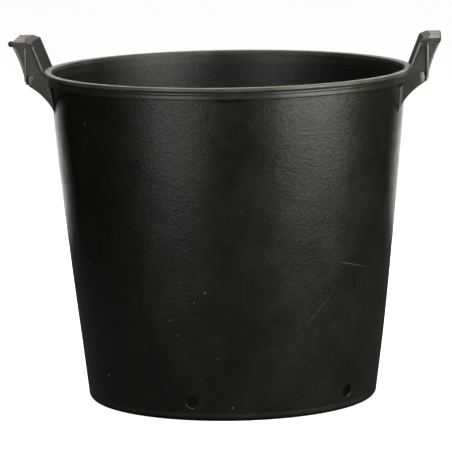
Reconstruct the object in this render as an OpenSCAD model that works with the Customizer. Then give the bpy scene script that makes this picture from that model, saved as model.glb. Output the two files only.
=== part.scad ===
// Round tub with two moulded carrying ears, black polypropylene.
// Origin: centre of the circle it stands on. +Z up, ears along +X and -X. Millimetres.

/* [Tub] */
// Outside diameter of the rim lip
rim_d = 450; // [430:5:470]
// Height of the rim above the ground
rim_h = 405; // [385:5:425]
// Outside diameter of the wall where it would reach the ground
base_d = 353; // [333:5:363]
// How far the wall bows outward at half height
wall_bow = 2.5; // [0:0.5:4]
// Wall thickness
wall_t = 2.6; // [2.2:0.2:3.2]
// Radius of the outside corner at the foot
foot_r = 8; // [5:1:10]

/* [Floor] */
// Height of the floor's underside above the ground
floor_z = 10; // [9:1:12]
// Floor thickness
floor_t = 3; // [2.5:0.5:4]
// Number of radial ribs under the floor
rib_count = 10; // [8:2:14]
// Thickness of each rib
rib_t = 3; // [2:0.5:4]

/* [Drain holes] */
// Number of drain holes round the wall
drain_count = 5; // [3:1:5]
// Radius of a drain hole
drain_r = 7.5; // [6:0.5:8]
// Height of the hole centres above the ground
drain_z = 24; // [24:1:32]
// Direction of the first hole, in degrees from +X
drain_turn = 323; // [318:1:330]
// Angle from one hole to the next, in degrees
drain_pitch = 66; // [60:1:72]

/* [Rim] */
// Height of the stepped collar, lip included
collar_h = 14.5; // [13:0.5:17]
// How far the collar stands out from the wall
collar_step = 5; // [4:0.2:5.4]
// Height of the lip
lip_h = 5; // [4.5:0.5:6]
// How far the lip stands out from the collar
lip_step = 3; // [2:0.5:3.5]

/* [Ears] */
// Length of the grip
ear_w = 96; // [92:2:100]
// Height of the grip above the rim
ear_h = 39; // [38:1:42]
// Outward lean of the back plate, in degrees
ear_lean = 21; // [20:0.5:22]
// Back plate thickness
ear_t = 3.8; // [3:0.2:4.4]
// Reach of the grip's outer edge beyond the rim
ear_reach = 35.5; // [34.5:0.5:37]
// Width of the sloping inner edge of the grip
bevel_w = 9; // [6:0.5:10]

/* [Hidden] */
$fn = 96;
plastic = "#20221f";

rim_r = rim_d / 2;
collar_z = rim_h - collar_h;                     // foot of the collar, top of the wall
collar_r = rim_r - lip_step;
wall_top_r = collar_r - collar_step;
base_r = base_d / 2;
wall_steps = 12;                                 // straight steps that the bowed wall is drawn in
rim_in_r = rim_r - 9.2;                          // inside of the lip
lip_z = rim_h - lip_h;
lip_round = 1.2;                                 // radius on the lip's edges
band_round = 2;                                  // radius on the collar's lower edge
corner_steps = 6;                                // chords in a quarter round
floor_top = floor_z + floor_t;

ring_w = 4;                                      // flat width that the foot ring stands on
rib_h = floor_z - 2;                             // the ribs stop short of the ground
rib_ring_r = 95;                                 // mid ring that ties the ribs together
boss_r = 14;
stub_h = 1.5;                                    // gate stub left standing inside the tub
cut = 1;                                         // how far cutting shapes run past what they cut

near_x = 190;                                    // ears are drawn from here outward, inside the wall
ear_half = ear_w / 2;
ear_top = rim_h + ear_h;
grip_t = 4;                                      // thickness of the grip's top web
bevel_h = 3.4;                                   // height of the sloping inner edge of the grip
nose_r = 10;                                     // outside radius of the turned-down lip
nose_t = 3.2;
nose_x = rim_r + ear_reach - nose_r;
ball_r = 3.7;                                    // round stop on the front end of the left grip
ball_sink = 2.2;                                 // its centre, below the grip's top
cheek_t = 3;                                     // recessed panel of a cheek
cheek_pad = 2;                                   // how far the outer triangle stands proud of it
ridge_x = rim_r + 18;                            // upright edge of that triangle
deck_z = rim_h - 1.5;                            // top of the deck
deck_t = 3.5;
skirt_t = 3;
skirt_x = rim_r + 15;                            // outer face of the skirt
skirt_half = ear_half + skirt_t;
skirt_r = 6;                                     // skirt corner radius in plan
skirt_low = 60;                                  // the skirt is drawn this far below the rim, then cut
sweep_r = 74;                                    // hollow arc under the ear, with its centre
sweep_x = rim_r + 50.5;
sweep_z = rim_h - 79.2;
flank_r = 152;                                   // long arc of the cheek's outer edge, with its centre
flank_x = rim_r + 168;
flank_z = rim_h - 37.6;

// Outside radius of the wall at height z: a straight taper with a shallow bow.
function wall_r(z) =
    let (u = z / collar_z)
    base_r + (wall_top_r - base_r) * u + 4 * wall_bow * u * (1 - u);

// Points of a round of radius r about c, from angle a to angle b.
function arc(c, r, a, b) = [
    for (i = [0 : corner_steps]) let (t = a + (b - a) * i / corner_steps) c + r * [cos(t), sin(t)]
];

function wall_heights(from, to) = [for (i = [0 : wall_steps]) from + (to - from) * i / wall_steps];

// Outer outline of the wall, from the foot ring up.
function wall_outline() = [for (z = wall_heights(floor_z, collar_z)) [wall_r(z), z]];

// Outer outline of the collar and the lip, from the collar's lower edge up to the top of the lip.
function collar_outline() = arc([collar_r - band_round, collar_z + band_round * sin(60)], band_round, -60, 0);
function lip_outline() = concat(
    arc([rim_r - lip_round, lip_z + lip_round], lip_round, -90, 0),
    arc([rim_r - lip_round, rim_h - lip_round], lip_round, 0, 90)
);

// ---- tub ----

module tub_wall() {
    inner = [for (z = wall_heights(collar_z, floor_z)) [wall_r(z) - wall_t, z]];
    color(plastic)
    difference() {
        rotate_extrude() polygon(concat(wall_outline(), inner));
        for (i = [0 : drain_count - 1])
            rotate([0, 0, drain_turn - i * drain_pitch])
            translate([base_r - 20, 0, drain_z])
            rotate([0, 90, 0])
            cylinder(r = drain_r, h = 40);
    }
}

module foot_ring() {
    foot_c = [wall_r(foot_r) - foot_r, foot_r];
    outer = concat(arc(foot_c, foot_r, -90, 0), [[wall_r(floor_z), floor_z]]);
    inner_r = foot_c[0] - ring_w;
    color(plastic) rotate_extrude() polygon(concat(outer, [[inner_r, floor_z], [inner_r, 0]]));
}

module tub_floor() {
    color(plastic)
    translate([0, 0, floor_z])
    difference() {
        cylinder(r1 = wall_r(floor_z) - wall_t, r2 = wall_r(floor_top) - wall_t, h = floor_t, $fn = 192);
        translate([0, 0, -cut]) cylinder(r = boss_r, h = floor_t + 2 * cut);
    }
}

module floor_ribs() {
    rib_outer = wall_r(foot_r) - foot_r - ring_w;
    color(plastic)
    translate([0, 0, floor_z - rib_h])
    union() {
        for (i = [0 : rib_count - 1])
            rotate([0, 0, i * 360 / rib_count])
            intersection() {
                translate([boss_r - cut, -rib_t / 2, 0]) cube([rib_outer, rib_t, rib_h]);
                difference() {
                    cylinder(r = rib_outer, h = rib_h);
                    translate([0, 0, -cut]) cylinder(r = boss_r, h = rib_h + 2 * cut);
                }
            }
        difference() {
            cylinder(r = rib_ring_r + rib_t / 2, h = rib_h);
            translate([0, 0, -cut]) cylinder(r = rib_ring_r - rib_t / 2, h = rib_h + 2 * cut);
        }
    }
}

// The disc at the middle of the floor where the plastic was let into the mould, with its stub.
module gate_boss() {
    color(plastic)
    translate([0, 0, floor_z - rib_h])
    union() {
        cylinder(r = boss_r, h = rib_h + floor_t);
        translate([0, 0, rib_h + floor_t]) cylinder(r1 = boss_r - 1, r2 = boss_r - 2 * stub_h, h = stub_h);
    }
}

module rim_collar() {
    color(plastic)
    rotate_extrude()
    polygon(concat(
        [[wall_top_r - wall_t, collar_z], [wall_top_r, collar_z]],
        collar_outline(),
        [[collar_r, lip_z], [rim_in_r, lip_z]]
    ));
}

module rim_lip() {
    color(plastic)
    rotate_extrude()
    polygon(concat(
        [[rim_in_r, lip_z]],
        lip_outline(),
        arc([rim_in_r + lip_round, rim_h - lip_round], lip_round, 90, 180)
    ));
}

// The tub as a solid plug: what is fitted to its outside is cut with it.
module tub_plug() {
    rotate_extrude()
    polygon(concat([[0, floor_z]], wall_outline(), collar_outline(), [[collar_r, lip_z]], lip_outline(), [[0, rim_h]]));
}

// ---- ears, drawn for +X ----

// The cone that the back plate's inner face lies on, grown outward by off.
module lean_cone(off) {
    low = -10;
    high = ear_h + 10;
    translate([0, 0, rim_h + low])
    cylinder(r1 = rim_r + off + low * tan(ear_lean), r2 = rim_r + off + high * tan(ear_lean), h = high - low);
}

// An outline drawn in the X-Z plane, given a thickness along Y from y0 to y1.
module upright(y0, y1) {
    translate([0, y1, 0]) rotate([90, 0, 0]) linear_extrude(height = y1 - y0) children();
}

module back_plate() {
    color(plastic)
    difference() {
        intersection() {
            lean_cone(ear_t);
            translate([near_x, -ear_half, deck_z]) cube([90, ear_w, ear_top - grip_t - deck_z]);
        }
        lean_cone(0);
        tub_plug();
    }
}

// Section of the grip: a flat top web whose outer edge is turned down in a quarter round.
module grip_outline() {
    translate([near_x, ear_top - grip_t]) square([nose_x + nose_r - near_x, grip_t]);
    difference() {
        translate([nose_x, ear_top - nose_r]) square([nose_r, nose_r - grip_t]);
        translate([nose_x, ear_top]) circle(r = nose_r - nose_t);
    }
}

module grip_bar() {
    bevel_r = rim_r + (ear_h - bevel_h) * tan(ear_lean);
    difference() {
        intersection() {
            upright(-ear_half, ear_half) grip_outline();
            union() {
                translate([near_x, -ear_half, ear_top - grip_t]) cube([nose_x - near_x, ear_w, grip_t]);
                translate([nose_x, ear_half, ear_top]) rotate([90, 0, 0]) cylinder(r = nose_r, h = ear_w);
            }
        }
        lean_cone(0);
        translate([0, 0, ear_top - bevel_h])
            cylinder(r1 = bevel_r, r2 = bevel_r + 2 * bevel_w, h = 2 * bevel_h);
    }
}

module grip() {
    color(plastic) grip_bar();
}

module stop() {
    translate([nose_x + nose_r, ear_half - ball_r / 2, ear_top - ball_sink]) sphere(r = ball_r);
}

// The left ear's grip carries a round stop on its front end.
module stopped_grip() {
    color(plastic)
    union() {
        grip_bar();
        stop();
    }
}

// Outline of a cheek in the X-Z plane, from x0 outward.
module cheek_outline(x0) {
    high = ear_top - grip_t;
    difference() {
        union() {
            difference() {
                translate([x0, rim_h - skirt_low]) square([nose_x + nose_r - x0, high - rim_h + skirt_low]);
                translate([flank_x, flank_z]) circle(r = flank_r, $fn = 192);
            }
            intersection() {
                translate([nose_x, ear_top]) circle(r = nose_r - nose_t);
                translate([nose_x - nose_r, ear_top - nose_r]) square([2 * nose_r, nose_r - grip_t]);
            }
        }
        translate([sweep_x, sweep_z]) circle(r = sweep_r, $fn = 192);
        translate([near_x - cut, rim_h - skirt_low - cut])
            square([skirt_x - near_x + cut, deck_z - rim_h + skirt_low + cut]);
    }
}

// A cheek: a recessed panel with a proud outer triangle. side is -1 at the front and 1 at the rear.
module cheek(side) {
    color(plastic)
    difference() {
        mirror([0, side > 0 ? 1 : 0, 0])
        union() {
            upright(-ear_half + cheek_pad, -ear_half + cheek_pad + cheek_t) cheek_outline(near_x);
            upright(-ear_half, -ear_half + cheek_pad) cheek_outline(ridge_x);
        }
        lean_cone(ear_t);
        grip();
    }
}

// Plan of the skirt, a rectangle with two round corners, drawn in by inset.
module skirt_plan(inset) {
    x1 = skirt_x - inset;
    half = skirt_half - inset;
    r = skirt_r - inset;
    translate([near_x, -half]) square([x1 - r - near_x, 2 * half]);
    translate([near_x, r - half]) square([x1 - near_x, 2 * (half - r)]);
    for (side = [-1, 1]) translate([x1 - r, side * (half - r)]) circle(r = r);
}

module deck() {
    color(plastic)
    difference() {
        translate([0, 0, deck_z - deck_t]) linear_extrude(height = deck_t) skirt_plan(skirt_t);
        tub_plug();
    }
}

module skirt() {
    color(plastic)
    difference() {
        translate([0, 0, rim_h - skirt_low])
            linear_extrude(height = deck_z - rim_h + skirt_low)
            difference() {
                skirt_plan(0);
                skirt_plan(skirt_t);
            }
        upright(-skirt_half - cut, skirt_half + cut) translate([sweep_x, sweep_z]) circle(r = sweep_r, $fn = 192);
        tub_plug();
    }
}

// The left ear is the right one turned half a circle about the tub's axis, with a stop on its grip.
module left() {
    rotate([0, 0, 180]) children();
}

tub_wall();
foot_ring();
tub_floor();
floor_ribs();
gate_boss();
rim_collar();
rim_lip();
back_plate();  // right_back_plate
grip();  // right_grip
cheek(-1);  // right_front_cheek
cheek(1);  // right_rear_cheek
deck();  // right_deck
skirt();  // right_skirt
left() back_plate();  // left_back_plate
left() stopped_grip();  // left_grip
left() cheek(1);  // left_front_cheek
left() cheek(-1);  // left_rear_cheek
left() deck();  // left_deck
left() skirt();  // left_skirt
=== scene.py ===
"""A black moulded nursery tub with two upright carrying ears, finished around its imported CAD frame."""

import bpy
import numpy as np
from mathutils import Matrix, Vector


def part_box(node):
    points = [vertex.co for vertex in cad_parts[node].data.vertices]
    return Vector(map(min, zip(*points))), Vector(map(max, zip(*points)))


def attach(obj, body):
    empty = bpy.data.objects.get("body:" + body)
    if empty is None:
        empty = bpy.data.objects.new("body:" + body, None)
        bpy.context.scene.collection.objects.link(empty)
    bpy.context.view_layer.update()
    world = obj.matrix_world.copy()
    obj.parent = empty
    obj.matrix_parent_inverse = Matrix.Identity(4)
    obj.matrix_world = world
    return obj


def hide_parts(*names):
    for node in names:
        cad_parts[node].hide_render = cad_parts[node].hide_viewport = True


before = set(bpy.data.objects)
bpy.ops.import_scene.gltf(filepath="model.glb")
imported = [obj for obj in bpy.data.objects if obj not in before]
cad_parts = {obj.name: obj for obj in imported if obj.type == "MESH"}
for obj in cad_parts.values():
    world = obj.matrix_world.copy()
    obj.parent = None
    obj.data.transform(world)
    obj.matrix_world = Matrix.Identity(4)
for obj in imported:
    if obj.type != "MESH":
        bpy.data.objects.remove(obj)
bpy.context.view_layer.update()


# ---- Camera ----
# A long lens, far off and a little above the rim, so that both ears show almost square on.
# The tub is turned three degrees, which brings the right ear nearer than the left.
TURN = np.radians(3.0)
RIM_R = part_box("rim_lip")[1].x
RIM_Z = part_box("rim_lip")[1].z
LENS_STEP = 20.0  # camera distance in rim radii
LENS_RISE = np.radians(8.522)
LENS_ROLL = np.radians(0.915)
AIM_SIDE = -0.0239
AIM_Z = 0.9327
SENSOR = 36.0
LENS = 291.25
CLIP_END = 60.0


def round_tub(side, out, up):
    """A place by its distance to the camera's right, out towards the camera, and up, in metres."""
    right = Vector((np.cos(TURN), np.sin(TURN), 0.0))
    towards = Vector((np.sin(TURN), -np.cos(TURN), 0.0))
    return right * side + towards * out + Vector((0.0, 0.0, up))


camera = bpy.data.objects.new("camera", bpy.data.cameras.new("camera"))
camera.data.sensor_width = SENSOR
camera.data.lens = LENS
camera.data.clip_end = CLIP_END
aim = round_tub(AIM_SIDE * RIM_R, 0.0, AIM_Z * RIM_R)
back = round_tub(0.0, np.cos(LENS_RISE), np.sin(LENS_RISE))
turn = back.to_track_quat("Z", "Y").to_matrix() @ Matrix.Rotation(-LENS_ROLL, 3, "Z")
camera.matrix_world = Matrix.Translation(aim + back * LENS_STEP * RIM_R) @ turn.to_4x4()
bpy.context.scene.collection.objects.link(camera)
bpy.context.scene.camera = camera


# ---- Tub wall ----
# The tapered wall, injection-moulded in black polypropylene, bowed out a little by cooling.
# Five round drain holes are cored through it just above the floor, with softened edges.
WALL_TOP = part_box("tub_wall")[1].z
WALL_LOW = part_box("tub_wall")[0].z
WALL_TOP_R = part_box("tub_wall")[1].x
BASE_R = 0.1765
WALL_BOW = 0.0025
WALL_T = 0.0026
DRAIN_R = 0.0075
DRAIN_Z = 0.024
DRAIN_TURN = np.radians(323.0)
DRAIN_PITCH = np.radians(66.0)
DRAIN_COUNT = 5
SPOKES = 480  # steps round the wall
WALL_ROWS = 56  # steps up the wall above the drain holes
PATCH = 5  # half the side of the square of cells that a drain hole takes, in cells
DRAIN_SOFT = 0.0009  # rounding of a drain hole's edges
DRAIN_RINGS = (0.0032, 0.0014)  # how far the rings of faces round a hole stand off its edge
WARP_SIZE = 0.001
WARP_FADE_LOW = 0.06
WARP_FADE_TOP = 0.05


def wall_radius(z):
    """Outside radius at height z: a straight taper, plus a shallow parabolic bow that is nil at both ends."""
    u = z / WALL_TOP
    return BASE_R + (WALL_TOP_R - BASE_R) * u + 4.0 * WALL_BOW * u * (1.0 - u)


def warp(turn, z):
    """How far cooling has pulled the wall in or out: long waves round it, fading to nil at both ends."""
    fade = np.clip((z - WALL_LOW) / WARP_FADE_LOW, 0, 1) * np.clip((WALL_TOP - z) / WARP_FADE_TOP, 0, 1)
    waves = (
        0.30 * np.sin(3 * turn + 9.0 * z + 0.6)
        + 0.22 * np.sin(5 * turn - 14.0 * z + 2.1)
        + 0.10 * np.sin(9 * turn + 21.0 * z)
    )
    return WARP_SIZE * waves * fade


def polar(radius, turn, z):
    """Points from radius, direction round the axis and height."""
    return np.stack(np.broadcast_arrays(radius * np.cos(turn), radius * np.sin(turn), z), -1)


HARD_EDGE = np.radians(38.0)


def mesh_piece(name, points, quads, caps=()):
    """Makes an object from points, four-cornered faces and many-cornered caps, smooth but for hard edges."""
    mesh = bpy.data.meshes.new(name)
    faces = quads.tolist() + [list(c) for c in caps]
    mesh.from_pydata(points.tolist(), [], faces)
    mesh.validate()
    mesh.shade_smooth()
    mesh.set_sharp_from_angle(angle=HARD_EDGE)
    piece = bpy.data.objects.new(name, mesh)
    bpy.context.scene.collection.objects.link(piece)
    return piece


def grid_quads(ids, wrap_rows, wrap_columns):
    """Faces between neighbouring rows and columns of a table of point numbers, closed round where asked."""
    if wrap_rows:
        ids = np.concatenate([ids, ids[:1]], 0)
    if wrap_columns:
        ids = np.concatenate([ids, ids[:, :1]], 1)
    return np.stack([ids[:-1, :-1], ids[1:, :-1], ids[1:, 1:], ids[:-1, 1:]], -1).reshape(-1, 4)


def seat(piece, nodes):
    """Fixes a piece to the tub in place of its CAD nodes, and hides those nodes."""
    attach(piece, "root")
    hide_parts(*nodes)


def drained_wall():
    """The wall as one closed sheet: up the outside and down the inside, round all spokes.
    At each drain hole a square of cells gives way to rings that run from the square to the circle,
    through the wall, and back out to the square."""
    step = 2 * np.pi / SPOKES
    turns = DRAIN_TURN + step * np.arange(SPOKES)
    cell = wall_radius(DRAIN_Z) * step
    patch_z = DRAIN_Z + cell * np.arange(-PATCH, PATCH + 1)
    above = np.linspace(patch_z[-1], WALL_TOP, WALL_ROWS)[1:]
    rise = np.concatenate([[WALL_LOW], patch_z, above])
    heights = np.concatenate([rise, rise[::-1]])
    depths = np.concatenate([np.zeros(len(rise)), np.full(len(rise), WALL_T)])
    t, z = np.meshgrid(turns, heights, indexing="ij")
    radius = wall_radius(z) + warp(t, z) - depths[None, :]
    sheet = polar(radius, t, z).reshape(-1, 3)
    ids = np.arange(len(sheet)).reshape(SPOKES, len(heights))
    quads = grid_quads(ids, True, True).reshape(SPOKES, len(heights), 4)

    # the square's edge, once round, as steps from its middle
    run = np.arange(-PATCH, PATCH)
    edge = np.concatenate([
        np.stack([run, np.full(2 * PATCH, -PATCH)], -1),
        np.stack([np.full(2 * PATCH, PATCH), run], -1),
        np.stack([-run, np.full(2 * PATCH, PATCH)], -1),
        np.stack([np.full(2 * PATCH, -PATCH), -run], -1),
    ])
    aim_out = edge / np.linalg.norm(edge, axis=1)[:, None]
    bend = np.linspace(0, np.pi / 2, 4)
    closing = DRAIN_SOFT * (1 - np.sin(bend))
    opening = DRAIN_SOFT * (1 - np.cos(bend))
    grow = np.concatenate([DRAIN_RINGS, closing, opening, DRAIN_RINGS[::-1]])
    sink = np.concatenate([[0, 0], opening, WALL_T - closing, [WALL_T, WALL_T]])
    keep = np.ones(quads.shape[:2], bool)
    points, faces, count = [sheet], [], len(sheet)
    patch_row = 1 + PATCH
    last = len(heights) - 1
    for hole in range(DRAIN_COUNT):
        middle = int(round((-hole * DRAIN_PITCH) / step)) % SPOKES
        rows = (middle + np.arange(-PATCH, PATCH)) % SPOKES
        columns = np.arange(1, 1 + 2 * PATCH)
        keep[np.ix_(rows, columns)] = False
        keep[np.ix_(rows, last - 1 - columns)] = False
        outer = ids[(middle + edge[:, 0]) % SPOKES, patch_row + edge[:, 1]]
        inner = ids[(middle + edge[:, 0]) % SPOKES, last - patch_row - edge[:, 1]]
        across = aim_out[None] * (DRAIN_R + grow)[:, None, None]
        zz = DRAIN_Z + across[..., 1]
        tt = turns[middle] + np.arcsin(across[..., 0] / wall_radius(zz))
        rings = polar(wall_radius(zz) + warp(tt, zz) - sink[:, None], tt, zz)
        numbers = count + np.arange(rings.shape[0] * rings.shape[1]).reshape(rings.shape[:2])
        strip = np.concatenate([outer[None], numbers, inner[None]], 0)
        faces.append(grid_quads(strip, False, True)[:, ::-1])
        points.append(rings.reshape(-1, 3))
        count += rings.shape[0] * rings.shape[1]
    return mesh_piece("wall_shell", np.concatenate(points), np.concatenate([quads[keep]] + faces))


def srgb(code):
    """A colour from its sRGB hex code, turned to linear light."""
    values = np.array([int(code[i : i + 2], 16) for i in (1, 3, 5)]) / 255.0
    linear = np.where(values <= 0.04045, values / 12.92, ((values + 0.055) / 1.055) ** 2.4)
    return (*linear.tolist(), 1.0)


def add(material, kind, settings=None, **links):
    """Adds one shader node. settings are its own options, and links are its inputs by name,
    each a value or another node's output. An underscore in an input's name stands for a space, and
    in0, in1 and so on are inputs by their number."""
    tree = material.node_tree
    made = tree.nodes.new("ShaderNode" + kind)
    for key, value in (settings or {}).items():
        setattr(made, key, value)
    for key, value in links.items():
        numbered = key.startswith("in") and key[2:].isdigit()
        socket = made.inputs[int(key[2:]) if numbered else key.replace("_", " ")]
        if isinstance(value, bpy.types.NodeSocket):
            tree.links.new(value, socket)
        else:
            socket.default_value = value
    return made


MARK_R = 0.2  # the wall is unrolled at this radius to lay the marks on it
MARK_EDGE = 1.5  # where a mark has faded out, in its own half sizes


def placed_marks(made, spot, marks, blur, fade):
    """One mask for marks at known places on the tub. Each mark is its bearing from +X in degrees, its
    height, half length and half width in metres, tilt in degrees and strength. Its mask is a flat oval
    on the unrolled wall, with an edge made ragged by blur, and fade says how softly it ends."""
    axes = add(made, "SeparateXYZ", Vector=spot)
    bearing = add(made, "Math", {"operation": "ARCTAN2"}, in0=axes.outputs[1], in1=axes.outputs[0])
    along = add(made, "Math", {"operation": "MULTIPLY"}, in0=bearing.outputs[0], in1=MARK_R)
    sheet = add(made, "CombineXYZ", X=along.outputs[0], Y=axes.outputs[2])
    mask = None
    # bearings past 180 degrees are negative here, as the arctangent gives them
    for turn, height, half_length, half_width, tilt, strength in marks:
        laid = add(
            made, "Mapping", {"vector_type": "TEXTURE"}, Vector=sheet.outputs[0],
            Location=(np.radians(turn - 360) * MARK_R, height, 0.0),
            Rotation=(0.0, 0.0, np.radians(tilt)),
            Scale=(half_length, half_width, 1.0),
        )
        away = add(made, "VectorMath", {"operation": "LENGTH"}, in0=laid.outputs[0])
        ragged = add(made, "Math", {"operation": "ADD"}, in0=away.outputs["Value"], in1=blur)
        inside = add(
            made, "MapRange", Value=ragged.outputs[0],
            From_Min=MARK_EDGE, From_Max=MARK_EDGE - fade, To_Max=strength,
        )
        if mask is None:
            mask = inside.outputs[0]
        else:
            mask = add(made, "Math", {"operation": "MAXIMUM"}, in0=mask, in1=inside.outputs[0]).outputs[0]
    return mask


# bearing, height, half length, half width, tilt, strength
PALE_MARKS = (
    (320.1, 0.1816, 0.022, 0.0007, -13.7, 0.28),
    (306.0, 0.1329, 0.027, 0.0006, 44.3, 0.16),
    (263.7, 0.1592, 0.0014, 0.0011, 0.0, 0.50),
    (259.7, 0.1467, 0.0010, 0.0009, 0.0, 0.40),
    (250.4, 0.1235, 0.0016, 0.0008, 30.0, 0.35),
    (253.1, 0.1067, 0.0011, 0.0010, 0.0, 0.45),
    (267.6, 0.0783, 0.0012, 0.0010, 0.0, 0.40),
    (217.8, 0.0456, 0.0015, 0.0013, 0.0, 0.90),
    (272.8, 0.0175, 0.0016, 0.0010, 0.0, 0.60),
)
# the long thin mark lies in the crease under the collar at the front and is painted shade; the other darkens
# a streak down the front of the wall
DARK_MARKS = (
    (278.3, 0.3740, 0.0055, 0.0190, 4.0, 0.22),
    (272.5, 0.3895, 0.0230, 0.0030, 1.0, 0.75),
)
PALE_FADE = 0.7
DARK_FADE = 1.5

# scales of the patterns, in cells a metre, with the size they stand for
CLOUD_SCALE = 22.0  # 45 mm patches of gloss
RIPPLE_SCALE = 70.0  # 14 mm unevenness of the mould
WEAR_SCALE = 260.0  # 4 mm dents and rubs
GRAIN_SCALE = 620.0  # 1.6 mm grain, coarser than the real one so that it shows
GRIT_SCALE = 55.0  # one cell in ten holds a speck, 18 mm apart
HAIR_SCALE = 420.0  # 2 mm between hair scratches, as coarse as they need to be to show
GRIT_SHARE = 0.10


def moulded_polypropylene(name, tint, dust_and_top_light_share, scuff, rough, ends=0.0):
    """Injection-moulded black polypropylene. The eye sees a near-black with a warm green cast, satin,
    with cloudy patches of gloss, a fine mould grain, hair scratches, and paler faces turned up, part lime
    dusting, part painted light.
    tint is its darkest and palest colour, and rough its smoothest and dullest. dust_and_top_light_share and
    scuff are how much of each it has, and ends how far faces turned along Y are made pale, part stacking
    wear, part painted light."""
    made = bpy.data.materials.new(name)
    made.use_nodes = True
    made.node_tree.nodes.clear()
    place = add(made, "TexCoord")
    spot = place.outputs["Object"]
    cloud = add(made, "TexNoise", Vector=spot, Scale=CLOUD_SCALE, Detail=4.0, Roughness=0.6)
    grain = add(made, "TexNoise", Vector=spot, Scale=GRAIN_SCALE, Detail=2.0, Roughness=0.5)
    ripple = add(made, "TexNoise", Vector=spot, Scale=RIPPLE_SCALE, Detail=3.0, Roughness=0.55)

    # hair scratches: noise drawn out along two slanting directions, and only its peaks kept
    hairs = []
    for turn, tilt, along in ((0.2, 0.35, 7.0), (0.5, -0.85, 9.0)):
        drawn_out = (HAIR_SCALE, HAIR_SCALE, along)
        laid = add(made, "Mapping", Vector=spot, Rotation=(turn, tilt, 0.0), Scale=drawn_out)
        streak = add(made, "TexNoise", Vector=laid.outputs[0], Scale=1.0, Detail=1.0)
        peak = add(made, "MapRange", Value=streak.outputs[0], From_Min=0.76, From_Max=0.82)
        hairs.append(peak.outputs[0])
    hair = add(made, "Math", {"operation": "MAXIMUM"}, in0=hairs[0], in1=hairs[1])
    area = add(made, "MapRange", Value=cloud.outputs[0], From_Min=0.5, From_Max=0.65)
    scratch = add(made, "Math", {"operation": "MULTIPLY"}, in0=hair.outputs[0], in1=area.outputs[0])
    scratched = add(made, "Math", {"operation": "MULTIPLY"}, in0=scratch.outputs[0], in1=scuff)

    # grit: a pale speck in one cell out of many
    cells = add(made, "TexVoronoi", {"feature": "F1"}, Vector=spot, Scale=GRIT_SCALE)
    dot = add(made, "MapRange", Value=cells.outputs["Distance"], From_Min=0.075, From_Max=0.035)
    lucky = add(made, "SeparateColor", Color=cells.outputs["Color"])
    few = add(made, "Math", {"operation": "GREATER_THAN"}, in0=lucky.outputs[0], in1=1.0 - GRIT_SHARE)
    speck = add(made, "Math", {"operation": "MULTIPLY"}, in0=dot.outputs[0], in1=few.outputs[0])

    # paler on faces turned up: partly lime dusting that settles there, partly painted light and highlight on
    # the lit tops
    facing = add(made, "SeparateXYZ", Vector=place.outputs["Normal"])
    up = add(made, "MapRange", Value=facing.outputs[2], From_Min=0.945, From_Max=0.99)
    patchy = add(made, "MapRange", Value=ripple.outputs[0], From_Min=0.35, From_Max=0.6, To_Min=0.35)
    dust_and_top_light_patchy = add(made, "Math", {"operation": "MULTIPLY"}, in0=up.outputs[0], in1=patchy.outputs[0])
    dust_and_top_light = add(made, "Math", {"operation": "MULTIPLY"}, in0=dust_and_top_light_patchy.outputs[0], in1=dust_and_top_light_share)

    # paler on faces turned along Y: partly wear where the flat ends of the ears slide past the next tub in a
    # stack, partly painted light on the lit end faces
    side_on = add(made, "Math", {"operation": "ABSOLUTE"}, in0=facing.outputs[1])
    end_on = add(made, "MapRange", Value=side_on.outputs[0], From_Min=0.75, From_Max=0.98)
    end_patchiness = add(made, "MapRange", Value=ripple.outputs[0], From_Min=0.3, From_Max=0.65, To_Min=0.35)
    end_wear_and_light_patchy = add(made, "Math", {"operation": "MULTIPLY"}, in0=end_on.outputs[0], in1=end_patchiness.outputs[0])
    end_wear_and_light = add(made, "Math", {"operation": "MULTIPLY"}, in0=end_wear_and_light_patchy.outputs[0], in1=ends)

    # faces turned to the tub's axis are dulled by wet compost
    radial = add(made, "VectorMath", {"operation": "MULTIPLY"}, in0=spot, in1=(1.0, 1.0, 0.0))
    normal = place.outputs["Normal"]
    outward = add(made, "VectorMath", {"operation": "DOT_PRODUCT"}, in0=normal, in1=radial.outputs[0])
    soiled = add(made, "MapRange", Value=outward.outputs["Value"], From_Min=-0.02, From_Max=-0.10)

    shade = add(made, "MapRange", Value=cloud.outputs[0], From_Min=0.3, From_Max=0.7)
    darkest, palest = srgb(tint[0]), srgb(tint[1])
    body = add(made, "Mix", {"data_type": "RGBA"}, Factor=shade.outputs[0], in6=darkest, in7=palest)
    layers = body.outputs[2]
    blur = add(made, "MapRange", Value=ripple.outputs[0], From_Min=0.3, From_Max=0.7, To_Min=-0.1, To_Max=0.5)
    pale = placed_marks(made, spot, PALE_MARKS, blur.outputs[0], PALE_FADE)
    dark = placed_marks(made, spot, DARK_MARKS, blur.outputs[0], DARK_FADE)
    for mask, colour in (
        # pinkish grey on faces turned up: lime dusting, and painted highlight on the lit tops
        (dust_and_top_light.outputs[0], "#a39a97"),
        # pale grey on the ears' ends: stacking wear, and painted light on the lit end faces
        (end_wear_and_light.outputs[0], "#5d5f57"),
        (scratched.outputs[0], "#5c5e58"),
        (speck.outputs[0], "#6e6f68"),
        (pale, "#7c7d74"),
        # darker as painted shade in the crease under the collar, and darker in a streak down the front
        (dark, "#0b0b0a"),
    ):
        layer = add(made, "Mix", {"data_type": "RGBA"}, Factor=mask, in6=layers, in7=srgb(colour))
        layers = layer.outputs[2]

    # gloss: cloudy, then duller by so much for the dusted tops and soil, and glossier where the dark marks
    # are
    haze = add(made, "Math", {"operation": "ADD"}, in0=cloud.outputs[0], in1=ripple.outputs[0])
    satin = add(
        made, "MapRange", Value=haze.outputs[0], From_Min=0.7, From_Max=1.3, To_Min=rough[0], To_Max=rough[1]
    )
    gloss = satin.outputs[0]
    for mask, duller in ((dust_and_top_light.outputs[0], 0.25), (soiled.outputs[0], 0.07), (dark, -0.10)):
        gloss = add(made, "Math", {"operation": "MULTIPLY_ADD"}, in0=mask, in1=duller, in2=gloss).outputs[0]

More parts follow.
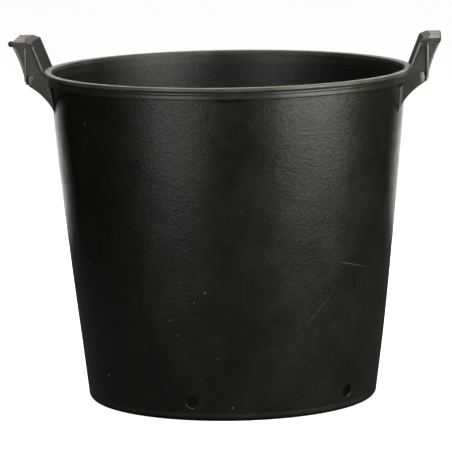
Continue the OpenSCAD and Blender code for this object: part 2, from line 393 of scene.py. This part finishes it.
    # relief: moulded grain, then dents and rubs, then the mould's own unevenness
    rub_marks = add(made, "TexNoise", Vector=spot, Scale=WEAR_SCALE, Detail=3.0, Roughness=0.7)
    skin = add(made, "Bump", Height=grain.outputs[0], Strength=0.6, Distance=0.00028)
    dented = add(
        made, "Bump", Height=rub_marks.outputs[0], Strength=0.6, Distance=0.0005, Normal=skin.outputs[0]
    )
    swell = add(
        made, "Bump", Height=ripple.outputs[0], Strength=0.35, Distance=0.0006, Normal=dented.outputs[0]
    )
    shader = add(
        made, "BsdfPrincipled", Base_Color=layers, Roughness=gloss, IOR=1.49, Normal=swell.outputs[0]
    )
    add(made, "OutputMaterial", Surface=shader.outputs[0])
    return made


# satin black, lightly scuffed, so that the studio shows in it as long soft streaks
WALL_PLASTIC = moulded_polypropylene("polypropylene_wall", ("#141611", "#1d1f18"), 0.5, 0.5, (0.28, 0.36))
wall = drained_wall()
wall.data.materials.append(WALL_PLASTIC)
seat(wall, ["tub_wall"])


# ---- Foot ring ----
# The rounded corner under the wall and the narrow flat that the tub stands on, moulded with the wall.
# It is dragged over concrete, so it is the dullest part of the tub's outside.
FOOT_R = 0.008
RING_W = 0.004
RING_SOFT = 0.0006  # rounding of the ring's inner edge


def lathe(name, profile, closed=True, spokes=288):
    """A profile of (radius, height) points carried once round the tub's axis, closed into a ring or open."""
    turns = np.linspace(0, 2 * np.pi, spokes, endpoint=False)
    radius, height = np.array(profile, float).T
    points = polar(radius[None, :], turns[:, None], height[None, :])
    ids = np.arange(points.shape[0] * points.shape[1]).reshape(points.shape[:2])
    return mesh_piece(name, points.reshape(-1, 3), grid_quads(ids, True, closed))


def arc(centre, radius, start, end, steps=8):
    """Points along a round: centre, radius, and the angles in degrees that it runs between."""
    a = np.radians(np.linspace(start, end, steps + 1))
    return [(centre[0] + radius * np.cos(t), centre[1] + radius * np.sin(t)) for t in a]


foot_x = wall_radius(FOOT_R) - FOOT_R
lean = np.degrees(np.arctan((WALL_TOP_R - BASE_R + 4 * WALL_BOW) / WALL_TOP))
foot_profile = (
    arc((foot_x, FOOT_R), FOOT_R, -90, -lean, 12)
    + [(wall_radius(WALL_LOW), WALL_LOW), (foot_x - RING_W, WALL_LOW)]
    + arc((foot_x - RING_W + RING_SOFT, RING_SOFT), RING_SOFT, 180, 270, 3)
)
foot = lathe("foot_corner", foot_profile)
# greyer and duller, with most of its shine scoured off
FOOT_PLASTIC = moulded_polypropylene("polypropylene_scuffed", ("#1a1b17", "#282922"), 0.2, 0.9, (0.4, 0.5))
foot.data.materials.append(FOOT_PLASTIC)
seat(foot, ["foot_ring"])


# ---- Floor ----
# A flat plate with a round boss at the gate, stiffened underneath by spokes and one ring.
# All are part of the same moulding. They carry over from the CAD as they are.

# the deepest black of the tub: painted shade on the floor deep inside the tub and under it
INSIDE_PLASTIC = moulded_polypropylene("polypropylene_inside", ("#080907", "#0f100d"), 0.0, 0.3, (0.30, 0.40))
for name in ("tub_floor", "floor_ribs", "gate_boss"):
    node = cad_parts[name]
    node.data.materials.clear()
    node.data.materials.append(INSIDE_PLASTIC)


# ---- Rim ----
# A stepped collar stiffens the mouth, and a rounded lip overhangs it with a hollow in between.
# Both are part of the same moulding, and the lip is paler: partly wear and lime dusting on its top, partly
# painted highlight.
LIP_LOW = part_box("rim_lip")[0].z
COLLAR_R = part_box("rim_collar")[1].x
LIP_W = 0.0098
LIP_IN_R = RIM_R - LIP_W
BAND_LOW_SOFT = 0.0016  # rounding of the collar's lower edge
BAND_TOP_SOFT = 0.0012  # and of its upper edge
BAND_TOP_DROP = 0.0048  # the upper edge, below the lip
HOLLOW_R = 0.0028  # the hollow under the lip
HOLLOW_DROP = 0.0018  # its centre, below the lip
collar_profile = (
    [(WALL_TOP_R - WALL_T, WALL_TOP), (WALL_TOP_R, WALL_TOP)]
    + arc((COLLAR_R - BAND_LOW_SOFT, WALL_TOP + BAND_LOW_SOFT), BAND_LOW_SOFT, -60, 0, 5)
    + arc((COLLAR_R - BAND_TOP_SOFT, LIP_LOW - BAND_TOP_DROP), BAND_TOP_SOFT, 0, 70, 5)
    + arc((COLLAR_R + BAND_TOP_SOFT, LIP_LOW - HOLLOW_DROP), HOLLOW_R, 225, 160, 6)
    + [(COLLAR_R - BAND_TOP_SOFT, LIP_LOW), (LIP_IN_R, LIP_LOW)]
)
collar = lathe("collar_band", collar_profile)
# a shade greyer than the wall, as painted light on the collar's lit band, and a little glossier where hands
# polish it
COLLAR_PLASTIC = moulded_polypropylene("polypropylene_collar", ("#1e201a", "#2c2e26"), 1.0, 0.6, (0.25, 0.36))
collar.data.materials.append(COLLAR_PLASTIC)
seat(collar, ["rim_collar"])

LIP_ROUND = 0.0017
LIP_INNER_ROUND = 0.0022
LIP_UNDERCUT = 0.0030  # the flat underside stops this far in from the lip's outer edge
LIP_SPLAY = 0.0003  # the outer lower round starts this much higher
lip_profile = (
    [(LIP_IN_R, LIP_LOW), (RIM_R - LIP_UNDERCUT, LIP_LOW)]
    + arc((RIM_R - LIP_ROUND, LIP_LOW + LIP_ROUND + LIP_SPLAY), LIP_ROUND, -60, 0, 6)
    + arc((RIM_R - LIP_ROUND, RIM_Z - LIP_ROUND), LIP_ROUND, 0, 90, 8)
    + arc((LIP_IN_R + LIP_INNER_ROUND, RIM_Z - LIP_INNER_ROUND), LIP_INNER_ROUND, 90, 180, 6)
)
lip = lathe("lip_bead", lip_profile)
# the palest of the rim: a paler copy of the plastic, partly wear and dusting on its top, partly painted
# highlight along the lip
RIM_PLASTIC = moulded_polypropylene("polypropylene_rim", ("#393a33", "#515249"), 1.0, 0.6, (0.28, 0.40))
lip.data.materials.append(RIM_PLASTIC)
seat(lip, ["rim_lip"])


# ---- Ears: back plate ----
# Each ear starts with a plate that rises off the rim and leans out, curved like the rim.
# It is part of the same moulding, and its ends show as paler bands, partly wear and partly painted light.
EAR_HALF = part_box("right_back_plate")[1].y
EAR_RISE = 0.039  # the grip's top, above the rim
EAR_TOP = RIM_Z + EAR_RISE
EAR_LEAN = np.tan(np.radians(21.0))
PLATE_T = 0.0038
PLATE_SOFT = 0.0011  # rounding of the plate's edges
GRIP_T = 0.004
DECK_Z = RIM_Z - 0.0015
EAR_CREASE = np.radians(17.0)  # edges sharper than this are rounded over


def leaning(y, z, out=0.0):
    """X of the plate's inner face at y and z: a cone about the tub's axis, grown outward by out."""
    return np.sqrt((RIM_R + out + (z - RIM_Z) * EAR_LEAN) ** 2 - y**2)


def loft(sections):
    """Faces round a run of equal closed outlines, and the numbers of the points on its two flat ends."""
    ids = np.arange(sections.shape[0] * sections.shape[1]).reshape(sections.shape[:2])
    ends = [ids[0][::-1].tolist(), ids[-1].tolist()]
    return sections.reshape(-1, 3), grid_quads(ids, False, True)[:, ::-1], ends


def joined(*shells):
    """Several shells of points, faces and caps, put together as one."""
    points, quads, caps, shift = [], [], [], 0
    for shell in shells:
        points.append(shell[0])
        quads.append(np.asarray(shell[1]) + shift)
        caps += [[int(n) + shift for n in cap] for cap in shell[2]]
        shift += len(shell[0])
    return np.concatenate(points), np.concatenate(quads), caps


def mirrored(shell):
    """The same shell on the other end of the ear, with its faces still turned outward."""
    points, quads, caps = shell
    return points * np.array([1.0, -1.0, 1.0]), np.asarray(quads)[:, ::-1], [list(cap)[::-1] for cap in caps]


def ear_pair(name, shell, material, nodes, round_over):
    """Makes an ear's piece on the right, and again on the left turned half a circle, with rounded edges.
    nodes names the CAD node on each side."""
    points, quads, caps = shell
    for side, word, node in ((1.0, "right_", nodes[0]), (-1.0, "left_", nodes[1])):
        piece = mesh_piece(word + name, points * np.array([side, side, 1.0]), quads, caps)
        soft = piece.modifiers.new("rounded_edges", "BEVEL")
        soft.width = round_over
        soft.segments = 3
        soft.limit_method = "ANGLE"
        soft.angle_limit = EAR_CREASE
        soft.harden_normals = True
        piece.data.materials.append(material)
        seat(piece, [node])


# the ears: satin, paler on their flat ends and on top, partly from stacking wear and lime dusting, partly as
# painted light
EAR_PLASTIC = moulded_polypropylene("polypropylene_ear", ("#171915", "#23251f"), 1.0, 0.7, (0.38, 0.52), 0.36)
# the plates: nearly matt, and darker than the ears as painted shade on their shaded inner sides
PLATE_PLASTIC = moulded_polypropylene(
    "polypropylene_plate", ("#0c0d0a", "#161712"), 0.4, 0.7, (0.55, 0.66), 0.55
)
plate_levels = np.linspace(DECK_Z, EAR_TOP - GRIP_T, 8)
plate_sections = np.array([
    [(leaning(y, z), y, z) for z in plate_levels]
    + [(leaning(y, z, PLATE_T), y, z) for z in plate_levels[::-1]]
    for y in np.linspace(-EAR_HALF, EAR_HALF, 41)
])
plate = loft(plate_sections)
ear_pair("ear_plate", plate, PLATE_PLASTIC, ("right_back_plate", "left_back_plate"), PLATE_SOFT)


# ---- Ears: grip ----
# The grip is a flat web, moulded in one with the plate, whose outer edge is rolled down in a quarter
# round for the fingers. Its inner edge slopes to the plate and its ends are closed.
# The left one carries a small round stop.
NOSE_R = 0.010
NOSE_T = 0.0032
GRIP_REACH = 0.0355  # the grip's outer edge, beyond the lip
NOSE_X = RIM_R + GRIP_REACH - NOSE_R
SLOPE_H = 0.0034
SLOPE_W = 0.009
STOP_R = 0.0037
STOP_SINK = 0.0022
END_INSET = 0.0008
END_T = 0.003
END_GAP = 0.0004  # the end cap is this much smaller than the rolled edge
EDGE_SOFT = 0.0022  # rounding of the grip's outer top edge
GRIP_SOFT = 0.0005  # rounding of its other edges


def grip_section(y):
    """The grip's closed outline at y, as (x, z): sloping edge, top, rolled lip outside, inside, underside."""
    low = EAR_TOP - GRIP_T
    sill = EAR_TOP - SLOPE_H
    tip = NOSE_R - NOSE_T
    start = -np.degrees(np.arcsin(GRIP_T / tip))
    crest = leaning(y, sill) + SLOPE_W
    top = [(crest + (NOSE_X + 0.002 - crest) * s, EAR_TOP) for s in (0.0, 0.5, 1.0)]
    rolled = arc((NOSE_X + NOSE_R - EDGE_SOFT, EAR_TOP - EDGE_SOFT), EDGE_SOFT, 90, 0, 8)
    rolled += arc((NOSE_X, EAR_TOP), NOSE_R, -18, -90, 10)
    inside = arc((NOSE_X, EAR_TOP), tip, -90, start, 8)
    return [(leaning(y, low), low), (leaning(y, sill), sill)] + top + rolled + inside


def prism(outline, y0, y1):
    """An outline in the X-Z plane given a thickness along Y."""
    return loft(np.array([[(x, y, z) for x, z in outline] for y in (y0, y1)]))


def ball(centre, radius, rows=16, columns=32):
    """A closed ball on its own grid of latitudes and longitudes, with one point at each pole."""
    lat = np.linspace(-np.pi / 2, np.pi / 2, rows + 1)[1:-1]
    lon = np.linspace(0, 2 * np.pi, columns, endpoint=False)
    belt = polar(np.cos(lat)[:, None], lon[None, :], np.sin(lat)[:, None]).reshape(-1, 3)
    points = np.concatenate([belt, [[0, 0, -1], [0, 0, 1]]]) * radius + np.array(centre)
    ids = np.arange(len(belt)).reshape(rows - 1, columns)
    after = np.roll(ids, -1, 1)
    low = [(len(belt), b, a) for a, b in zip(ids[0], after[0])]
    high = [(len(belt) + 1, a, b) for a, b in zip(ids[-1], after[-1])]
    return points, grid_quads(ids, False, True)[:, ::-1], low + high


web = loft(np.array([[(x, y, z) for x, z in grip_section(y)] for y in np.linspace(-EAR_HALF, EAR_HALF, 33)]))
end_round = arc((NOSE_X, EAR_TOP - END_GAP), NOSE_R - END_GAP, -1, -168, 18)
end_cap = prism(end_round, -EAR_HALF + END_INSET, -EAR_HALF + END_INSET + END_T)
stop = ball((NOSE_X + NOSE_R, EAR_HALF - STOP_R / 2, EAR_TOP - STOP_SINK), STOP_R)
grip = joined(web, end_cap, mirrored(end_cap))
ear_pair("ear_grip", grip, EAR_PLASTIC, ("right_grip", "left_grip"), GRIP_SOFT)
points, quads, caps = stop
piece = mesh_piece("left_grip_stop", points * np.array([-1.0, -1.0, 1.0]), quads, caps)
piece.data.materials.append(EAR_PLASTIC)
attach(piece, "root")


# ---- Ears: cheeks ----
# A web closes each end of the ear, moulded in one with it: a recessed panel, and proud of it an
# outer triangle with one upright edge. Its outer edge follows a long hollow curve down to a point.
CHEEK_T = 0.003
CHEEK_PAD = 0.002
CHEEK_SOFT = 0.0013  # rounding of the cheek's edges
RIDGE_X = RIM_R + 0.018
SKIRT_X = RIM_R + 0.015
SWEEP_R = 0.074
SWEEP = np.array([RIM_R + 0.0505, RIM_Z - 0.0792])
FLANK_R = 0.152
FLANK = np.array([RIM_R + 0.168, RIM_Z - 0.0376])


def flank_x(z):
    """X of the cheek's long outer arc at height z."""
    return FLANK[0] - np.sqrt(FLANK_R**2 - (z - FLANK[1]) ** 2)


def hollow_z(x):
    """Height of the hollow arc under the ear at x."""
    return SWEEP[1] + np.sqrt(np.maximum(SWEEP_R**2 - (x - SWEEP[0]) ** 2, 0))


def flank_run(top, steps=16):
    """The cheek's outer edge from a height down the long arc, to the point where the hollow arc cuts it."""
    fine = np.linspace(top, RIM_Z - 0.03, 400)
    stop_z = fine[np.argmax(fine < hollow_z(flank_x(fine)))]
    return [(flank_x(z), z) for z in np.linspace(top, stop_z, steps)]


def panel_outline():
    """The recessed panel, seen along Y: up beside the plate, along under the grip, down inside the flank
    to the point, and back to the skirt. Its edges are let a millimetre or two into what they meet."""
    high = EAR_TOP - GRIP_T
    low = DECK_Z - 0.001
    foot = SKIRT_X - 0.0015
    inner = [(leaning(EAR_HALF, low, 0.002), low), (leaning(EAR_HALF, high, 0.002), high)]
    side = [(x - 0.0006, z) for x, z in flank_run(EAR_TOP - NOSE_R)]
    return inner + [(NOSE_X + 0.004, high)] + side + [(foot, hollow_z(foot) + 0.0005), (foot, low)]


def pad_outline():
    """The proud triangle, seen along Y: up its straight inner edge, round under the grip's closed end,
    and down the flank."""
    under = arc((NOSE_X, EAR_TOP), NOSE_R + 0.0001, -139, -40, 12)
    return [(RIDGE_X, hollow_z(RIDGE_X))] + under + flank_run(under[-1][1] - 0.0004)


panel = prism(panel_outline(), -EAR_HALF + CHEEK_PAD, -EAR_HALF + CHEEK_PAD + CHEEK_T)
pad = prism(pad_outline(), -EAR_HALF, -EAR_HALF + CHEEK_PAD + 0.001)
cheek = joined(panel, pad)
ear_pair("ear_front_cheek", cheek, EAR_PLASTIC, ("right_front_cheek", "left_rear_cheek"), CHEEK_SOFT)
ear_pair("ear_rear_cheek", mirrored(cheek), EAR_PLASTIC, ("right_rear_cheek", "left_front_cheek"), CHEEK_SOFT)


# ---- Ears: edge beads ----
# Thin half-round beads run up the triangle's straight edge, down its outer edge and up the plate's end.
# They are moulded on to stiffen the web, and hands and stacking have made them smoother. Their pale colour is
# partly that wear, partly painted highlight along each edge.
EDGE_R = 0.0013
EDGE_SINK = 0.0005
RIDGE_DROP = 0.0095  # the ridge bead's foot, below the rim


def tube(path, radius, sides=16):
    """A round bar along a path in one X-Z plane: rings across the path's direction, each end drawn in
    over two rings to a small flat cap."""
    path = np.array(path)
    run = np.gradient(path[:, [0, 2]], axis=0)
    run /= np.linalg.norm(run, axis=1)[:, None]
    across = np.stack([run[:, 1], 0 * run[:, 0], -run[:, 0]], -1)
    lengthwise = np.stack([run[:, 0], 0 * run[:, 0], run[:, 1]], -1)
    dome = np.radians([75.0, 40.0])
    first = path[:1] + lengthwise[:1] * radius * (1 - np.sin(dome))[:, None]
    last = path[-1:] - lengthwise[-1:] * radius * (1 - np.sin(dome[::-1]))[:, None]
    middles = np.concatenate([first, path[1:-1], last])
    scales = np.concatenate([np.cos(dome), np.ones(len(path) - 2), np.cos(dome[::-1])]) * radius
    frames = np.concatenate([across[:1], across[:1], across[1:-1], across[-1:], across[-1:]])
    turn = np.linspace(0, 2 * np.pi, sides, endpoint=False)[None, :, None]
    rings = middles[:, None] + scales[:, None, None] * (
        np.cos(turn) * frames[:, None] + np.sin(turn) * np.array([0.0, 1.0, 0.0])
    )
    return loft(rings)


edge_y = -EAR_HALF + EDGE_SINK
ridge_z = np.linspace(RIM_Z - RIDGE_DROP, pad_outline()[1][1], 12)
ridge = tube([(RIDGE_X + 0.0008, edge_y, z) for z in ridge_z], EDGE_R)
flank = pad_outline()[13:]  # from where the round under the grip ends
outer = tube([(x - 0.0012, edge_y, z) for x, z in flank], EDGE_R)
plate_z = np.linspace(RIM_Z + 0.0025, EAR_TOP - GRIP_T - 0.0005, 12)
plate_end = tube([(leaning(EAR_HALF, z, PLATE_T / 2), edge_y, z) for z in plate_z], EDGE_R)
beads = joined(ridge, outer, plate_end)
# the same plastic, smooth and pale grey: partly wear, partly a painted highlight that draws each bead's thin
# bright line
WORN_HIGHLIGHT_PLASTIC = moulded_polypropylene("polypropylene_worn_highlight", ("#595b53", "#74766d"), 0.3, 0.5, (0.28, 0.38))


def worn_highlight_pair(name, shell):
    """Makes beads on the right ear, and again on the left turned half a circle, in the pale plastic of wear
    and painted highlight.
    """
    points, quads, caps = shell
    for side, word in ((1.0, "right_"), (-1.0, "left_")):
        piece = mesh_piece(word + name, points * np.array([side, side, 1.0]), quads, caps)
        piece.data.materials.append(WORN_HIGHLIGHT_PLASTIC)
        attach(piece, "root")


worn_highlight_pair("edge_beads", joined(beads, mirrored(beads)))


# ---- Ears: deck and skirt ----
# A shelf ties the ear to the rim. Below it a skirt with an oval boss at each corner runs down both sides
# and sweeps back into the wall in a hollow curve, with a soft fillet where it meets the wall.
# All of it comes out of the mould with the tub.
DECK_T = 0.0035
SKIRT_T = 0.003
SKIRT_HALF = EAR_HALF + SKIRT_T
SKIRT_R = 0.006
FILLET_R = 0.0048
FILLET_FADE = 0.004  # the fillet grows from nothing over this height, below the collar
SKIRT_ROOT = 0.0012  # how far the skirt is let into the wall
SKIRT_SOFT = 0.0009
DECK_SOFT = 0.0004
OVAL = (0.0031, 0.0013, 0.0068)  # half the width, depth and height of the boss at each corner


def tub_x(y, z):
    """X of the tub's outside at y and z, collar included."""
    return np.sqrt(np.where(z > WALL_TOP, COLLAR_R, wall_radius(np.minimum(z, WALL_TOP))) ** 2 - y**2)


def skirt_face(inset, rows=18):
    """One side of the skirt's sheet, from the tub's wall at the front, round both corners, to the wall at the
    rear. Each station runs from the deck down to the hollow, and the end stations follow the wall."""
    v = np.linspace(0, 1, rows)
    x1, half, r = SKIRT_X - inset, SKIRT_HALF - inset, SKIRT_R - inset
    columns = []
    # stations crowd towards the wall, and each is settled by repetition, as its x and z set each other
    for share in np.linspace(0, 1, 22)[:-1] ** 1.6:
        z = np.full(rows, DECK_Z)
        for _ in range(12):
            root = tub_x(half, z) - SKIRT_ROOT
            x = root + share * (x1 - r - root)
            z = DECK_Z + v * (hollow_z(x) - DECK_Z)
        off = np.clip(x - tub_x(half, z) + SKIRT_ROOT, 0, FILLET_R)
        flare = FILLET_R - np.sqrt(FILLET_R**2 - (FILLET_R - off) ** 2)
        below = np.clip((WALL_TOP - z) / FILLET_FADE, 0, 1) * (inset == 0)
        columns.append(np.stack([x, -half - flare * below, z], -1))
    # the rounded corner
    for t in np.radians(np.linspace(-90, 0, 9)):
        x = np.full(rows, x1 - r + r * np.cos(t))
        y = np.full(rows, -half + r + r * np.sin(t))
        columns.append(np.stack([x, y, DECK_Z + v * (hollow_z(x) - DECK_Z)], -1))
    front = np.array(columns)
    return np.concatenate([front, front[::-1] * np.array([1, -1, 1])], 0)


outside, inside = skirt_face(0.0), skirt_face(SKIRT_T)
sheet = loft(np.concatenate([outside, inside[:, ::-1]], 1))
oval, oval_quads, oval_caps = ball((0.0, 0.0, 0.0), 1.0)
oval_x = SKIRT_X - OVAL[0]
oval = oval * np.array(OVAL) + np.array([oval_x, -SKIRT_HALF, hollow_z(oval_x) + OVAL[2] + 0.001])
corner = (oval, oval_quads, oval_caps)
ear_pair("ear_skirt", sheet, EAR_PLASTIC, ("right_skirt", "left_skirt"), SKIRT_SOFT)
# the corner ovals are pale: partly wear, partly a painted highlight on each corner
worn_highlight_pair("corner_ovals", joined(corner, mirrored(corner)))

deck_y = np.linspace(-SKIRT_HALF + 0.001, SKIRT_HALF - 0.001, 41)
bite = np.maximum(np.abs(deck_y) - (SKIRT_HALF - SKIRT_R), 0)
deck_out = SKIRT_X - 0.0012 - (SKIRT_R - np.sqrt(np.maximum(SKIRT_R**2 - bite**2, 0)))
deck_in = np.sqrt(COLLAR_R**2 - deck_y**2) - 0.001
deck_sections = np.array([
    [(i, y, DECK_Z - DECK_T), (i, y, DECK_Z), (o, y, DECK_Z), (o, y, DECK_Z - DECK_T)]
    for i, o, y in zip(deck_in, deck_out, deck_y)
])
ear_pair("ear_deck", loft(deck_sections), EAR_PLASTIC, ("right_deck", "left_deck"), DECK_SOFT)


# ---- Studio ----
# A pale floor that runs out of sight, and softboxes: one overhead, a wide one high behind, two upright
# ones in front that draw the long highlights, two low ones behind, and a faint glow off the floor.
FLOOR_HALF = 30.0
PAPER_GLOW = 0.97
floor = mesh_piece(
    "studio_floor",
    np.array([(x, y, 0.0) for x, y in ((-1, -1), (1, -1), (1, 1), (-1, 1))]) * FLOOR_HALF,
    np.array([[0, 1, 2, 3]]),
)
# matt white paper that glows a little, so that it stays evenly pale under the softboxes
PAPER = bpy.data.materials.new("studio_paper")
PAPER.use_nodes = True
PAPER.node_tree.nodes.clear()
paper = add(
    PAPER, "BsdfPrincipled", Base_Color=srgb("#f2f1ef"), Roughness=0.9,
    Emission_Color=srgb("#ffffff"), Emission_Strength=PAPER_GLOW,
)
add(PAPER, "OutputMaterial", Surface=paper.outputs[0])
floor.data.materials.append(PAPER)
floor.visible_glossy = False
floor.visible_diffuse = False

SOFT_WHITE = srgb("#fffefa")[:3]


def softbox(name, at, look, size, power):
    """A rectangular light at a place, turned to face another."""
    lamp = bpy.data.objects.new(name, bpy.data.lights.new(name, "AREA"))
    lamp.data.shape = "RECTANGLE"
    lamp.data.size, lamp.data.size_y = size
    lamp.data.energy = power
    lamp.data.color = SOFT_WHITE
    lamp.visible_camera = False
    lamp.matrix_world = Matrix.Translation(at) @ (at - look).to_track_quat("Z", "Y").to_matrix().to_4x4()
    bpy.context.scene.collection.objects.link(lamp)


def from_front(degrees, distance, up):
    """A place by its bearing, from the camera's side round to its right, its distance and its height."""
    a = np.radians(degrees)
    return round_tub(distance * np.sin(a), distance * np.cos(a), up)


SOFTBOX_AWAY = 1.25
middle = Vector((0.0, 0.0, RIM_Z / 2))
softbox("softbox_over", Vector((0.0, 0.2, 1.9)), middle, (1.0, 1.0), 14.0)
softbox("softbox_behind", from_front(180.0, 1.6, 1.25), Vector((0.0, 0.0, RIM_Z)), (2.4, 0.5), 9.0)
softbox("floor_glow", Vector((0.0, 0.0, 0.004)), Vector((0.0, 0.0, 1.0)), (1.4, 1.4), 0.35)
# name, bearing, height, width, tallness, power
for name, bearing, up, width, tall, power in (
    ("softbox_left", -33.0, 0.66, 0.7, 1.2, 7.2),
    ("softbox_right", 52.0, 0.72, 0.95, 1.2, 23.3),
    ("softbox_far_left", -158.0, 0.21, 0.6, 0.4, 1.6),
    ("softbox_far_right", 158.0, 0.21, 0.6, 0.4, 1.6),
):
    level = from_front(bearing, 0.0, up)
    softbox(name, from_front(bearing, SOFTBOX_AWAY, up), level, (width, tall), power)

world = bpy.data.worlds.new("studio_room")
world.use_nodes = True
world.node_tree.nodes["Background"].inputs[0].default_value = srgb("#f4f4f4")
world.node_tree.nodes["Background"].inputs[1].default_value = 1.0
world.cycles_visibility.glossy = False
world.cycles_visibility.diffuse = False
bpy.context.scene.world = world
bpy.context.scene.view_settings.view_transform = "Standard"
